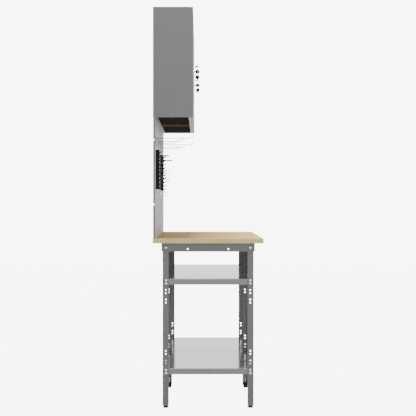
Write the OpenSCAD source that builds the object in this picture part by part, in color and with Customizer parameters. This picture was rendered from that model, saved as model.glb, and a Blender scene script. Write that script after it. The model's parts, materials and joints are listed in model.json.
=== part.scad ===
// Steel workbench with two shelf levels, a row of perforated tool panels and two wall cabinets.
// Millimetres. The origin is on the floor under the middle of the worktop.
// X runs along the bench, -Y is the front where the user stands, +Z is up.

/* [Worktop] */
// Length of the whole set along X
bench_len = 1600; // [1400:10:2000]
// Depth of the worktop from front to rear
bench_dep = 600; // [540:10:760]
// Height of the working surface above the floor
bench_h = 919; // [820:1:1100]
// Thickness of the solid wood worktop
top_t = 26; // [22:1:40]

/* [Frame] */
// Distance from the worktop's long edges in to the legs
leg_inset = 53; // [30:1:70]
// Distance from the worktop's ends in to the end rails
end_over = 15; // [10:1:40]
// Width of both flanges of the angle steel legs
leg_w = 34; // [32:1:45]
// Thickness of the leg steel
leg_t = 2; // [1.5:0.1:3]
// Height of the rails under the worktop
rail_h = 45; // [40:1:70]
// Thickness of the rail steel
rail_t = 1.5; // [1:0.1:2.5]
// Width of the rails' top flanges, which carry the worktop
rail_flange = 26; // [20:1:32]
// How far the end rails reach past the legs at the front and the rear
rail_past = 6; // [3:0.5:12]
// Radius of the end rails' lower corners
rail_corner = 7; // [2:0.5:15]
// Distance from the middle of an end rail out to its spare holes
rail_hole_y = 110; // [60:5:160]
// Depth of the spare holes below the worktop
rail_hole_drop = 30; // [22:1:34]
// Depth of the rail bolts below the worktop
rail_bolt_drop = 23; // [18:1:30]

/* [Bolts] */
// Thread diameter of the frame bolts
bolt_d = 8; // [6:1:8]
// Play around a bolt in its hole, on the radius
bolt_play = 0.5; // [0.2:0.1:1]
// Diameter of the domed bolt heads
head_d = 14; // [12:0.5:16]
// Height of the domed bolt heads
head_h = 4.4; // [3:0.2:6]
// Width of the hexagon nuts across their flats
nut_w = 13; // [12:0.5:14]
// Height of the nuts
nut_h = 6.5; // [4:0.5:7]
// Distance from a leg's outer edge to its column of holes
hole_inset = 19; // [18:0.5:22]
// Diameter of the small screws in the worktop and the panels
screw_d = 4.5; // [3.5:0.5:5]

/* [Bench shelves] */
// Height of the upper shelf's surface
upper_z = 701; // [560:1:740]
// Height of the lower shelf's surface
lower_z = 215; // [120:1:260]
// Height of the folded band around each shelf
band_h = 32; // [31:1:44]
// Thickness of the shelf sheet
shelf_t = 1; // [0.8:0.1:2]
// Gap between a shelf and the legs' side flanges
shelf_play = 0.5; // [0.3:0.1:2]
// Width of the lips folded under the long sides
shelf_lip = 12; // [8:1:20]
// Distance between the two bolts of a pair
pair_gap = 16.6; // [15:0.2:18]
// Distance from one pair of holes to the next spare pair
pair_pitch = 52; // [40:1:60]
// Number of spare pairs at each level
spare_pairs = 2; // [0:1:2]

/* [Feet] */
// Diameter of the foot pads
pad_d = 29; // [24:1:34]
// Height of the foot pads
pad_h = 10; // [6:1:16]
// Gap between a pad and the leg above it
foot_gap = 3; // [2:0.5:8]
// Diameter of the threaded stems
stem_d = 8; // [6:1:10]
// Length of the stems above the pads
stem_len = 50; // [45:1:60]
// Height of the plastic blocks that the stems screw into
socket_h = 18; // [14:1:26]
// Running clearance of stems, pins and plugs, on the radius
run_play = 0.05; // [0.02:0.01:0.1]

/* [Tool panels] */
// Depth of the panels' folded edges
panel_dep = 11; // [10:1:16]
// Thickness of the panel sheet
panel_t = 1; // [0.8:0.1:1.5]
// Gap between neighbouring panels
panel_gap = 0.5; // [0.3:0.1:2]
// Distance from the worktop's rear edge to the panels' backs
panel_back = 2; // [1:0.5:10]
// Distance between rows of perforation
perf_pitch = 16.2; // [15:0.1:18]
// Diameter of the perforation
perf_d = 8.5; // [8:0.1:9]
// Least distance from a panel's edge to a row's centre
perf_edge = 17; // [14:1:26]
// Height of the wall hook notches in the side folds
notch_h = 9; // [6:1:14]
// Depth of the wall hook notches
notch_dep = 8; // [5:0.5:9]
// Height of the lower notch above the worktop
notch_low = 185; // [120:5:240]
// Distance from the lower notch to the upper one
notch_rise = 350; // [200:10:380]

/* [Cabinets] */
// Clear height between the worktop and the cabinets
case_lift = 656; // [590:1:800]
// Height of a cabinet
case_h = 598; // [480:1:760]
// Depth of a cabinet
case_dep = 218; // [180:1:280]
// Distance from the worktop's rear edge to the cabinets' backs
case_back = 1; // [0:0.5:2]
// Thickness of the cabinet sheet
case_t = 1.2; // [1:0.1:1.6]
// Width of the frame folded around the doors
face_w = 20; // [18:1:30]
// Depth of that folded frame
face_dep = 25; // [22:1:32]
// Recess of the cabinet floor above the lower edges
floor_up = 8; // [5:0.5:12]
// Depth of the rail under the back of a cabinet
seat_dep = 22; // [18:1:30]
// Diameter of the wall fixing holes in the cabinet backs
wall_hole_d = 8; // [6:0.5:10]
// Distance between wall fixing holes along X
wall_hole_x = 700; // [400:10:740]
// Distance between wall fixing holes along Z
wall_hole_z = 500; // [300:10:560]

/* [Doors] */
// Thickness of a door
door_dep = 18; // [14:1:20]
// Thickness of the door sheet
door_t = 1.2; // [0.8:0.1:1.6]
// Gap around each door
door_gap = 2; // [2:0.1:4]
// Distance from a door's outer edges to its pivot axis
pivot_in = 3; // [2.8:0.1:3.4]
// Diameter of the pivot pins
pivot_d = 4; // [3:0.5:4]
// Length of a pivot pin's tail past the cabinet's frame
pin_tail = 1.5; // [0.5:0.5:4]
// Length of a pivot pin inside the door
pivot_grip = 8; // [5:0.5:10]

/* [Locks and keys] */
// Height of the lock above the cabinet's lower edge
lock_up = 286; // [200:1:360]
// Distance from the locking door's free edge to the lock
lock_in = 15; // [14:1:30]
// Diameter of the lock body
lock_d = 16; // [14:0.5:18]
// Diameter of the turning plug in the lock
plug_d = 11; // [9:0.5:12]
// Height of a key's blade
blade_h = 7; // [5:0.5:8]
// Thickness of a key's blade
blade_t = 2; // [1.5:0.1:2.5]
// Length of a key's blade inside the plug
blade_in = 16; // [10:1:20]
// Length of the cam on the back of the lock
cam_len = 30; // [22:1:40]
// Diameter of the key bows
bow_d = 24; // [18:1:25]
// Thickness of the key bows
bow_t = 5; // [3:0.5:6]
// Distance from the door's face to the middle of the key's bow
bow_out = 22; // [21:1:28]
// Diameter of the hole in a bow
bow_hole = 3.4; // [3:0.2:6]
// Diameter of the key ring at its wire's centre
ring_d = 22; // [20:1:30]
// Diameter of the key ring's wire
ring_wire = 1.6; // [1:0.2:2]
// Material left outside the ring hole of a spare key
spare_wall = 1.8; // [1.2:0.1:3]
// Reach of a spare key's blade from the middle of its bow
spare_reach = 26; // [20:1:32]
// Height of the door pull above the lock
pull_up = 29; // [24:1:60]
// Diameter of the door pull
pull_d = 11; // [9:0.5:16]
// Length of the pull's grip
pull_len = 20; // [14:1:26]
// Length of the pull's bare stem in front of the door
pull_neck = 9; // [6:1:14]
// Diameter of that stem
pull_stem = 5; // [4:0.5:6]

/* [Hooks and holders] */
// Diameter of the hooks' steel rod
rod_d = 4; // [3:0.5:5]
// Thickness of the hooks' back plates
hook_plate_t = 2; // [1.5:0.1:3]
// Reach of the long hooks
hook_long = 190; // [120:5:220]
// Reach of the medium hooks
hook_medium = 132; // [80:5:200]
// Reach of the short hooks
hook_short = 88; // [50:5:140]
// Length of a hook's upturned tip
hook_tip = 25; // [12:1:40]
// Reach of the prong racks
prong_len = 71; // [40:1:100]
// Diameter of the prongs on the prong racks
prong_d = 6; // [4:0.5:8]
// Number of prongs on each prong rack
prong_n = 5; // [3:1:7]
// Distance between the prongs
prong_step = 19; // [16:0.5:24]
// Number of teeth on each spanner rack
tooth_n = 10; // [6:1:10]
// Distance between the teeth
tooth_pitch = 21.7; // [18:0.1:26]
// Thickness of a tooth
tooth_t = 5.5; // [4:0.5:7]
// Depth of a spanner rack's solid back
rack_back = 20; // [8:1:22]
// Reach of the teeth
tooth_out = 34; // [26:1:40]
// Rise of the teeth from the level
tooth_tilt = 36; // [20:1:40]
// Width of a spanner rack
rack_w = 46; // [30:1:60]
// Width of the strap holders
holder_w = 46; // [42:1:60]
// Depth of the strap holders' boxes
holder_dep = 24; // [12:1:40]
// Distance from the panel to the tips of the strap holders' rods
holder_out = 43; // [42:1:60]
// Radius of the curl on the curved hooks
curl_r = 10; // [6:0.5:14]
// Radius of the rings on the ring hooks
ring_hook_r = 11; // [8:0.5:13]

/* [Hidden] */
$fn = 48;
eps = 0.01;

// Main planes
half_l = bench_len / 2;
half_d = bench_dep / 2;
under_z = bench_h - top_t;
leg_y = half_d - leg_inset;
leg_x = half_l - end_over - rail_t;
rail_y = leg_y + rail_past;
rail_low = under_z - rail_h;
flange_y = leg_y + rail_t - rail_flange;
leg_bottom = pad_h + foot_gap;
leg_top = under_z - rail_t - 0.5;
hole_d = bolt_d + 2 * bolt_play;
hole_y = leg_y - hole_inset;
rail_bolt_z = under_z - rail_bolt_drop;

// Leg stations, as [x of the outer face, direction of the side flange]
LEFT = [-leg_x, 1];
MIDDLE = [leg_t / 2, -1];
RIGHT = [leg_x, -1];
STATIONS = [LEFT, MIDDLE, RIGHT];

// Bolt heights of the shelves and the spare pairs
pair_drop = shelf_t + (pair_gap + nut_w) / 2 + 0.8;
upper_mid = upper_z - pair_drop;
lower_mid = lower_z - pair_drop;
PAIRS = concat([for (i = [0:spare_pairs]) upper_mid - i * pair_pitch],
               [for (i = [0:spare_pairs]) lower_mid + i * pair_pitch]);
SHELF_BOLTS = [for (z = [upper_mid, lower_mid]) for (s = [-1, 1]) z + s * pair_gap / 2];

// Panels and their perforation
panel_n = 4;
panel_w = bench_len / panel_n;
panel_rear = half_d - panel_back;
panel_face = panel_rear - panel_dep;
panel_mid = bench_h + case_lift / 2;
cols = floor((panel_w / 2 - perf_edge) / perf_pitch);
rows = floor((case_lift / 2 - perf_edge) / perf_pitch);
peg_d = perf_d - 1;
peg_len = panel_t + 5;

// Cabinets and doors
case_n = 2;
case_w = bench_len / case_n;
case_z = bench_h + case_lift;
case_top = case_z + case_h;
case_rear = half_d - case_back;
case_front = case_rear - case_dep;
door_w = (case_w - 2 * face_w - 3 * door_gap) / 2;
door_low = case_z + face_w + door_gap;
door_high = case_top - face_w - door_gap;
pivot_y = case_front + pivot_in;
block_w = 9;
lock_z = case_z + lock_up;
cam_y = case_front + door_dep + 4.5;
cam_t = 2;
inner_z = lock_z - cam_len - 3;
inner_front = case_front + door_dep + 1.2;
inner_lip = 12;
lip_in = face_w + 6;
pull_z = lock_z + pull_up;
spare_hole = bow_d / 2 - bow_hole / 2 - spare_wall;

// ---- Helpers ----

// A box between two opposite corners, in any order
module slab(a, b) {
  low = [for (i = [0:2]) min(a[i], b[i])];
  size = [for (i = [0:2]) abs(a[i] - b[i])];
  translate(low) cube(size);
}

// A cylinder from a point, along one axis given as a unit vector
module rod(p, dir, len, d) {
  turn = abs(dir[0]) > 0 ? [0, 90 * dir[0], 0] : abs(dir[1]) > 0 ? [-90 * dir[1], 0, 0]
       : [dir[2] > 0 ? 0 : 180, 0, 0];
  translate(p) rotate(turn) cylinder(d = d, h = len);
}

// Turns a flat shape drawn in X and Y so that it stands in Y and Z, thickened along +X
module stand_yz(t) {
  rotate([90, 0, 90]) linear_extrude(t) children();
}

// Turns a flat shape drawn in X and Y so that it stands in X and Z, thickened along +Y from y
module stand_xz(y, t) {
  translate([0, y + t, 0]) rotate([90, 0, 0]) linear_extrude(t) children();
}

// ---- Fasteners ----

// A domed head with a hexagon socket, standing on z = 0
module dome_head(d, h) {
  ball_r = (d * d / 4 + h * h) / (2 * h);
  difference() {
    intersection() {
      translate([0, 0, h - ball_r]) sphere(r = ball_r);
      cylinder(d = d + 1, h = h + 1);
    }
    translate([0, 0, h * 0.45]) cylinder(d = d * 0.4, h = h, $fn = 6);
  }
}

// A bolt whose head faces dir, through a stack that is grip thick
module bolt(p, dir, grip) {
  turn = abs(dir[0]) > 0 ? [0, 90 * dir[0], 0] : [-90 * dir[1], 0, 0];
  translate(p) rotate(turn) {
    dome_head(head_d, head_h);
    translate([0, 0, -grip - nut_h - 1]) cylinder(d = bolt_d, h = grip + nut_h + 1 + eps);
  }
}

// The nut on the far side of the same stack
module nut(p, dir, grip) {
  turn = abs(dir[0]) > 0 ? [0, 90 * dir[0], 0] : [-90 * dir[1], 0, 0];
  translate(p) rotate(turn) translate([0, 0, -grip - nut_h]) difference() {
    rotate([0, 0, 30]) cylinder(d = nut_w / cos(30), h = nut_h, $fn = 6);
    translate([0, 0, -1]) cylinder(d = bolt_d + 2 * run_play, h = nut_h + 2);
  }
}

// Every bolted stack in the frame, drawn by bolt() or by nut()
module stacks(as_nut) {
  module one(p, dir, grip) {
    if (as_nut) nut(p, dir, grip);
    else bolt(p, dir, grip);
  }
  for (s = [-1, 1]) {
    // end rails and the middle rail to the end flanges of the legs
    for (e = [-1, 1]) one([e * (leg_x + rail_t), s * hole_y, rail_bolt_z], [e, 0, 0], rail_t + leg_t);
    one([-leg_t / 2 - rail_t, s * hole_y, rail_bolt_z], [-1, 0, 0], rail_t + leg_t);
    // long rails to the side flanges of the legs
    for (st = STATIONS)
      one([st[0] + st[1] * hole_inset, s * (leg_y + rail_t), rail_bolt_z - 14], [0, s, 0], rail_t + leg_t);
    // shelves to the legs
    for (z = SHELF_BOLTS) {
      for (e = [-1, 1]) one([e * leg_x, s * hole_y, z], [e, 0, 0], leg_t + shelf_t);
      one([-leg_t / 2 - shelf_t, s * hole_y, z], [-1, 0, 0], leg_t + 2 * shelf_t);
    }
  }
}

module frame_bolts() {
  color("#b9bbbd") stacks(false);
}

module frame_nuts() {
  color("#a9abad") stacks(true);
}

// ---- Worktop ----

// Places of the screws that come up through the rails into the worktop
screw_y = leg_y + rail_t - rail_flange * 0.62;
screw_up = 16;
TOP_SCREWS = concat(
  [for (s = [-1, 1]) for (x = [-0.75, -0.25, 0.25, 0.75]) [x * leg_x, s * screw_y]],
  [for (e = [-1, 1]) for (y = [-0.4, 0.4]) [e * (leg_x - rail_flange * 0.5), y * leg_y]]
);
// Places of the screws that hold the panels down on the worktop and up to the cabinets
FOLD_SCREWS = [for (i = [0:panel_n - 1]) for (s = [-0.35, 0.35]) -half_l + (i + 0.5 + s) * panel_w];
fold_y = panel_rear - panel_dep * 0.5;
fold_down = 18;

module worktop() {
  color("#d1c4a4") difference() {
    slab([-half_l, -half_d, under_z], [half_l, half_d, bench_h]);
    for (p = TOP_SCREWS) rod([p[0], p[1], under_z - 1], [0, 0, 1], screw_up + 1.5, screw_d + 2 * run_play);
    for (x = FOLD_SCREWS) rod([x, fold_y, bench_h + 1], [0, 0, -1], fold_down + 1.5, screw_d + 2 * run_play);
  }
}

module worktop_screws() {
  color("#b9bbbd") for (p = TOP_SCREWS) {
    translate([p[0], p[1], under_z - rail_t]) rotate([180, 0, 0]) dome_head(screw_d * 2, screw_d * 0.6);
    rod([p[0], p[1], under_z - rail_t - eps], [0, 0, 1], screw_up + rail_t, screw_d);
  }
}

// ---- Rails ----

// An upright plate w wide and h high with rounded lower corners, standing on y = 0
module plate_outline(w, h, r) {
  for (s = [-1, 1]) translate([s * (w / 2 - r), r]) circle(r);
  translate([-w / 2 + r, 0]) square([w - 2 * r, h]);
  translate([-w / 2, r]) square([w, h - r]);
}

// An end rail, e = -1 on the left and 1 on the right
module end_rail(e) {
  outer = leg_x + rail_t;
  color("#828383") difference() {
    union() {
      translate([e > 0 ? leg_x : -outer, 0, rail_low]) stand_yz(rail_t)
        plate_outline(2 * rail_y, rail_h, rail_corner);
      slab([e * outer, -flange_y + 1, under_z - rail_t], [e * (outer - rail_flange), flange_y - 1, under_z]);
    }
    for (s = [-1, 1]) {
      rod([e * (outer + 1), s * hole_y, rail_bolt_z], [-e, 0, 0], rail_t + 2, hole_d);
      rod([e * (outer + 1), s * rail_hole_y, under_z - rail_hole_drop], [-e, 0, 0], rail_t + 2, hole_d);
    }
    for (p = TOP_SCREWS) rod([p[0], p[1], under_z - rail_t - 1], [0, 0, 1], rail_t + 2, screw_d + 0.5);
  }
}

// A long rail, s = -1 at the front and 1 at the rear
module long_rail(s) {
  color("#828383") difference() {
    union() {
      slab([-leg_x, s * leg_y, rail_low], [leg_x, s * (leg_y + rail_t), under_z]);
      slab([-leg_x, s * flange_y, under_z - rail_t], [leg_x, s * (leg_y + rail_t), under_z]);
    }
    for (st = STATIONS)
      rod([st[0] + st[1] * hole_inset, s * (leg_y - 1), rail_bolt_z - 14], [0, s, 0], rail_t + 2, hole_d);
    for (p = TOP_SCREWS) rod([p[0], p[1], under_z - rail_t - 1], [0, 0, 1], rail_t + 2, screw_d + 0.5);
  }
}

module rail_middle() {
  x = -leg_t / 2;
  side = leg_y - leg_t - shelf_play;
  color("#828383") difference() {
    union() {
      slab([x, -side, rail_low], [x - rail_t, side, leg_top]);
      slab([x, -flange_y + 1, rail_low], [x - rail_t, flange_y - 1, under_z]);
      slab([x, -flange_y + 1, under_z - rail_t], [x - rail_flange, flange_y - 1, under_z]);
    }
    for (s = [-1, 1]) rod([x + 1, s * hole_y, rail_bolt_z], [-1, 0, 0], rail_t + 2, hole_d);
  }
}

// ---- Legs and feet ----

// The corner section of a leg, with its bend at the origin
module leg_section() {
  translate([leg_t, leg_t]) intersection() {
    circle(leg_t);
    translate([-leg_t, -leg_t]) square(leg_t);
  }
  translate([leg_t, 0]) square([leg_w - leg_t, leg_t]);
  translate([0, leg_t]) square([leg_t, leg_w - leg_t]);
}

// A leg at a station, s = -1 at the front and 1 at the rear
module leg(st, s) {
  x = st[0];
  color("#828383") difference() {
    translate([x, s * leg_y, leg_bottom]) scale([st[1], -s, 1]) linear_extrude(leg_top - leg_bottom)
      leg_section();
    // bolt hole of the rails, then the pairs, in both flanges
    rod([x - st[1], s * hole_y, rail_bolt_z], [st[1], 0, 0], leg_t + 2, hole_d);
    rod([x + st[1] * hole_inset, s * (leg_y + 1), rail_bolt_z - 14], [0, -s, 0], leg_t + 2, hole_d);
    for (z = PAIRS) for (k = [-1, 1]) {
      rod([x - st[1], s * hole_y, z + k * pair_gap / 2], [st[1], 0, 0], leg_t + 2, hole_d);
      rod([x + st[1] * hole_inset, s * (leg_y + 1), z + k * pair_gap / 2], [0, -s, 0], leg_t + 2, hole_d);
    }
  }
}

// Places of the feet, under the middle of the leg sections
function foot_xy(st, s) = [st[0] + st[1] * leg_w / 2, s * (leg_y - leg_w / 2)];

module foot_sockets() {
  color("#1b1b1c") for (st = STATIONS) for (s = [-1, 1]) {
    p = foot_xy(st, s);
    difference() {
      slab([st[0] + st[1] * leg_t, s * (leg_y - leg_t), leg_bottom],
           [st[0] + st[1] * (leg_w - 1), s * (leg_y - leg_w + 1), leg_bottom + socket_h]);
      translate([p[0], p[1], leg_bottom - 1]) cylinder(d = stem_d + 2 * run_play, h = socket_h + 2);
    }
  }
}

module foot(st, s) {
  p = foot_xy(st, s);
  edge = 1.5;
  color("#151515") translate([p[0], p[1], 0]) {
    cylinder(d1 = pad_d - 2 * edge, d2 = pad_d, h = edge);
    translate([0, 0, edge]) cylinder(d = pad_d, h = pad_h - 2 * edge);
    translate([0, 0, pad_h - edge]) cylinder(d1 = pad_d, d2 = pad_d - 2 * edge, h = edge);
    cylinder(d = stem_d, h = pad_h + stem_len);
  }
}

// ---- Bench shelves ----

// A shelf pan from x0 to x1 with its surface at z
module shelf_pan(x0, x1, z) {
  side = leg_y - leg_t - shelf_play;
  low = z - band_h;
  mid = (x0 + x1) / 2;
  color("#8b8c8c") difference() {
    union() {
      slab([x0, -side, z - shelf_t], [x1, side, z]);
      for (x = [x0, x1 - shelf_t]) slab([x, -side, low], [x + shelf_t, side, z]);
      for (s = [-1, 1]) {
        slab([x0, s * side, low], [x1, s * (side - shelf_t), z]);
        slab([x0 + leg_w, s * side, low], [x1 - leg_w, s * (side - shelf_lip), low + shelf_t]);
      }
      // a folded rib across the middle stiffens the pan
      for (k = [-1, 1]) slab([mid + k * 20, -side, z - 14], [mid + k * (20 - shelf_t), side, z]);
      slab([mid - 20, -side, z - 14], [mid + 20, side, z - 14 + shelf_t]);
    }
    for (x = [x0, x1]) for (s = [-1, 1]) for (k = [-1, 1])
      rod([x - 2, s * hole_y, z - pair_drop + k * pair_gap / 2], [1, 0, 0], 4, hole_d);
    // the rib's ends are open
    for (s = [-1, 1]) slab([mid - 20 + shelf_t, s * (side + 1), z - 14 + shelf_t],
                           [mid + 20 - shelf_t, s * (side - 12), z - shelf_t]);
  }
}

// ---- Tool panels ----

module panel_face_outline() {
  w = panel_w - panel_gap;
  difference() {
    translate([-w / 2, -case_lift / 2]) square([w, case_lift]);
    for (c = [-cols:cols]) for (r = [-rows:rows]) if ((abs(c) + abs(r)) % 2 == 0)
      translate([c * perf_pitch, r * perf_pitch]) circle(d = perf_d);
  }
}

// One panel, i = 0 at the left end
module panel(i) {
  x = -half_l + (i + 0.5) * panel_w;
  w = panel_w - panel_gap;
  color("#8a8b8b") difference() {
    union() {
      translate([x, 0, panel_mid]) stand_xz(panel_face, panel_t) panel_face_outline();
      for (s = [-1, 1]) {
        slab([x + s * w / 2, panel_face, bench_h], [x + s * (w / 2 - panel_t), panel_rear, case_z]);
        slab([x - w / 2, panel_face, panel_mid + s * case_lift / 2],
             [x + w / 2, panel_rear, panel_mid + s * (case_lift / 2 - panel_t)]);
      }
    }
    for (z = [notch_low, notch_low + notch_rise]) for (s = [-1, 1])
      slab([x + s * (w / 2 + 1), panel_rear + 1, bench_h + z - notch_h / 2],
           [x + s * (w / 2 - panel_t - 1), panel_rear - notch_dep, bench_h + z + notch_h / 2]);
    for (fx = FOLD_SCREWS) {
      rod([fx, fold_y, bench_h - 1], [0, 0, 1], panel_t + 2, screw_d + 0.5);
      rod([fx, fold_y, case_z + 1], [0, 0, -1], panel_t + 2, screw_d + 0.5);
    }
  }
}

// Screws down into the worktop, and up into the seat rails of the cabinets
module panel_screws() {
  head = screw_d * 1.6;
  color("#b9bbbd") for (x = FOLD_SCREWS) {
    translate([x, fold_y, bench_h + panel_t]) dome_head(head, screw_d * 0.6);
    rod([x, fold_y, bench_h + panel_t + eps], [0, 0, -1], fold_down + panel_t, screw_d);
    translate([x, fold_y, case_z - panel_t]) rotate([180, 0, 0]) dome_head(head, screw_d * 0.6);
    rod([x, fold_y, case_z - panel_t - eps], [0, 0, 1], panel_t + case_t + 4, screw_d);
  }
}

// ---- Cabinets ----

function case_x(k) = -half_l + k * case_w;

module cabinet(k) {
  x0 = case_x(k);
  x1 = x0 + case_w;
  floor_z = case_z + floor_up;
  y1 = case_front + face_dep;
  color("#828383") difference() {
    union() {
      slab([x0, case_rear - case_t, case_z], [x1, case_rear, case_top]);
      for (x = [x0, x1 - case_t]) slab([x, case_front, case_z], [x + case_t, case_rear, case_top]);
      slab([x0, case_front, case_top - case_t], [x1, case_rear, case_top]);
      slab([x0, y1 - case_t, floor_z], [x1, case_rear, floor_z + case_t]);
      // folded frame around the doors: front webs, then the returns behind them
      for (z = [case_z, case_top - face_w]) slab([x0, case_front, z], [x1, case_front + case_t, z + face_w]);
      for (x = [x0, x1 - face_w]) slab([x, case_front, case_z], [x + face_w, case_front + case_t, case_top]);
      for (z = [case_z + face_w - case_t, case_top - face_w])
        slab([x0, case_front, z], [x1, y1, z + case_t]);
      for (x = [x0 + face_w - case_t, x1 - face_w])
        slab([x, case_front, case_z + face_w - case_t], [x + case_t, y1, case_top - face_w + case_t]);
      // box fold under the front and seat rail under the back
      slab([x0, case_front, case_z], [x1, y1, case_z + case_t]);
      slab([x0, y1 - case_t, case_z], [x1, y1, floor_z + case_t]);
      slab([x0, case_rear - seat_dep, case_z], [x1, case_rear, case_z + case_t]);
      slab([x0, case_rear - seat_dep, case_z], [x1, case_rear - seat_dep + case_t, floor_z + case_t]);
      // ledges for the inner shelf
      for (x = [x0 + case_t, x1 - case_t - 12])
        slab([x - eps, y1 + 6, inner_z - 2 * case_t], [x + 12 + eps, case_rear - 8, inner_z - case_t]);
    }
    for (sx = [-1, 1]) for (sz = [-1, 1])
      rod([(x0 + x1 + sx * wall_hole_x) / 2, case_rear - case_t - 1, (case_z + case_top + sz * wall_hole_z) / 2],
          [0, 1, 0], case_t + 2, wall_hole_d);
    for (x = [pivot_x(k, 0), pivot_x(k, 1)]) {
      rod([x, pivot_y, case_z + face_w - case_t - pin_tail], [0, 0, 1], case_t + pin_tail + 1, pivot_d);
      rod([x, pivot_y, case_top - face_w - 1], [0, 0, 1], case_t + pin_tail + 1, pivot_d);
    }
    for (x = FOLD_SCREWS) rod([x, fold_y, case_z - 1], [0, 0, 1], case_t + 2, screw_d + 0.5);
  }
}

// Flat shelf inside each cabinet, with a narrower tongue at the front
module cabinet_shelves() {
  side = case_t + 0.5;
  front = case_front + face_dep + 1;
  color("#828383") for (k = [0:case_n - 1]) {
    x0 = case_x(k);
    x1 = x0 + case_w;
    slab([x0 + side, front, inner_z - case_t], [x1 - side, case_rear - case_t - 0.5, inner_z]);
    slab([x0 + lip_in, inner_front + case_t, inner_z - case_t], [x1 - lip_in, front + eps, inner_z]);
  }
}

// Bar welded on edge along the front of each inner shelf, which the cam closes behind
module cabinet_lips() {
  color("#828383") for (k = [0:case_n - 1])
    slab([case_x(k) + lip_in, inner_front, inner_z - case_t],
         [case_x(k) + case_w - lip_in, inner_front + case_t, inner_z + inner_lip]);
}

// Pivot axis of a cabinet's door, h = 0 for the left-hand door and 1 for the right-hand one
function pivot_x(k, h) = h == 0 ? case_x(k) + face_w + door_gap + pivot_in
                                : case_x(k) + case_w - face_w - door_gap - pivot_in;

// The two cabinets are a mirrored pair: the outer door of each has the lock
function lock_x(k) = k == 0 ? case_x(0) + case_w / 2 - door_gap / 2 - lock_in
                            : case_x(1) + case_w / 2 + door_gap / 2 + lock_in;

module door(k, h, has_lock) {
  edge = pivot_x(k, h) + (h == 0 ? -pivot_in : pivot_in);
  d = h == 0 ? 1 : -1;
  free = edge + d * door_w;
  y0 = case_front;
  y1 = case_front + door_dep;
  color("#828383") difference() {
    union() {
      slab([edge, y0, door_low], [free, y0 + door_t, door_high]);
      for (x = [edge, free - d * door_t]) {
        slab([x, y0, door_low], [x + d * door_t, y1, door_high]);
      }
      for (z = [door_low, door_high - door_t]) slab([edge, y0, z], [free, y1, z + door_t]);
      // lips folded in around the back
      for (z = [door_low, door_high - 9]) slab([edge, y1 - door_t, z], [free, y1, z + 9]);
      slab([edge, y1 - door_t, door_low], [edge + d * 9, y1, door_high]);
      slab([free, y1 - door_t, door_low], [free - d * 5, y1, door_high]);
      // pivot blocks in the hinge corners
      for (z = [door_low, door_high - pivot_grip - 4])
        slab([edge, y0, z], [edge + d * block_w, y0 + block_w, z + pivot_grip + 4]);
    }
    for (z = [door_low - 1, door_high - pivot_grip - 1])
      translate([pivot_x(k, h), pivot_y, z]) cylinder(d = pivot_d + 2 * run_play, h = pivot_grip + 2);
    if (has_lock) {
      rod([lock_x(k), y0 - 1, lock_z], [0, 1, 0], door_t + 2, lock_d + 0.4);
      rod([lock_x(k), y0 - 1, pull_z], [0, 1, 0], door_t + 2, pull_stem);
    }
  }
}

module hinge_pins() {
  color("#b9bbbd") for (k = [0:case_n - 1]) for (h = [0, 1]) {
    x = pivot_x(k, h);
    low = case_z + face_w - case_t;
    high = case_top - face_w + case_t;
    reach = pin_tail + case_t + door_gap + pivot_grip;
    translate([x, pivot_y, low - pin_tail]) cylinder(d = pivot_d, h = reach);
    translate([x, pivot_y, high + pin_tail - reach]) cylinder(d = pivot_d, h = reach);
  }
}

// ---- Pulls, locks and keys ----

// Turned pull on a thin stem, fixed with a nut behind the door's sheet
module pull(k) {
  edge = 1.5;
  body = pull_d / 2;
  color("#4a4a4b") translate([lock_x(k), case_front, pull_z]) rotate([90, 0, 0]) {
    rotate_extrude() polygon([
      [0, -door_t - 6], [pull_stem / 2, -door_t - 6], [pull_stem / 2, -door_t - 3.5],
      [pull_stem, -door_t - 3.5], [pull_stem, -door_t], [pull_stem / 2, -door_t],
      [pull_stem / 2, 0], [pull_stem / 2 + 1.5, 0], [pull_stem / 2 + 1.5, 1.5], [pull_stem / 2, 2],
      [pull_stem / 2, pull_neck], [body - edge, pull_neck], [body, pull_neck + edge],
      [body * 0.84, pull_neck + pull_len * 0.4], [body, pull_neck + pull_len - edge * 1.5],
      [body - edge, pull_neck + pull_len], [0, pull_neck + pull_len]
    ]);
  }
}

module lock_body(k) {
  y = case_front;
  color("#c9cbcd") difference() {
    union() {
      rod([lock_x(k), y - 2.5, lock_z], [0, 1, 0], 2.5, lock_d + 5);
      rod([lock_x(k), y - 7, lock_z], [0, 1, 0], 5, lock_d + 1);
      rod([lock_x(k), y - 1, lock_z], [0, 1, 0], cam_y - y + 0.5, lock_d);
      rod([lock_x(k), y + door_t, lock_z], [0, 1, 0], 4, lock_d + 6);
    }
    rod([lock_x(k), y - 8, lock_z], [0, 1, 0], cam_y - y + 10, plug_d + 2 * run_play);
  }
}

// The turning plug with the cam on its end, which points away from the free edge
module lock_cam(k) {
  d = k == 0 ? -1 : 1;
  y = case_front;
  color("#c9cbcd") difference() {
    union() {
      rod([lock_x(k), y - 7.5, lock_z], [0, 1, 0], cam_y - y + 7.5 + cam_t + 3, plug_d);
      slab([lock_x(k), cam_y, lock_z - 6], [lock_x(k) + d * (cam_len - 6), cam_y + cam_t, lock_z + 6]);
      rod([lock_x(k) + d * (cam_len - 6), cam_y, lock_z], [0, 1, 0], cam_t, 12);
      rod([lock_x(k), cam_y, lock_z], [0, 1, 0], cam_t, 14);
    }
    slab([lock_x(k) - blade_t / 2 - 0.1, y - 8, lock_z - blade_h / 2 - 0.1],
         [lock_x(k) + blade_t / 2 + 0.1, y - 7.5 + blade_in + 0.5, lock_z + blade_h / 2 + 0.1]);
  }
}

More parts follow.
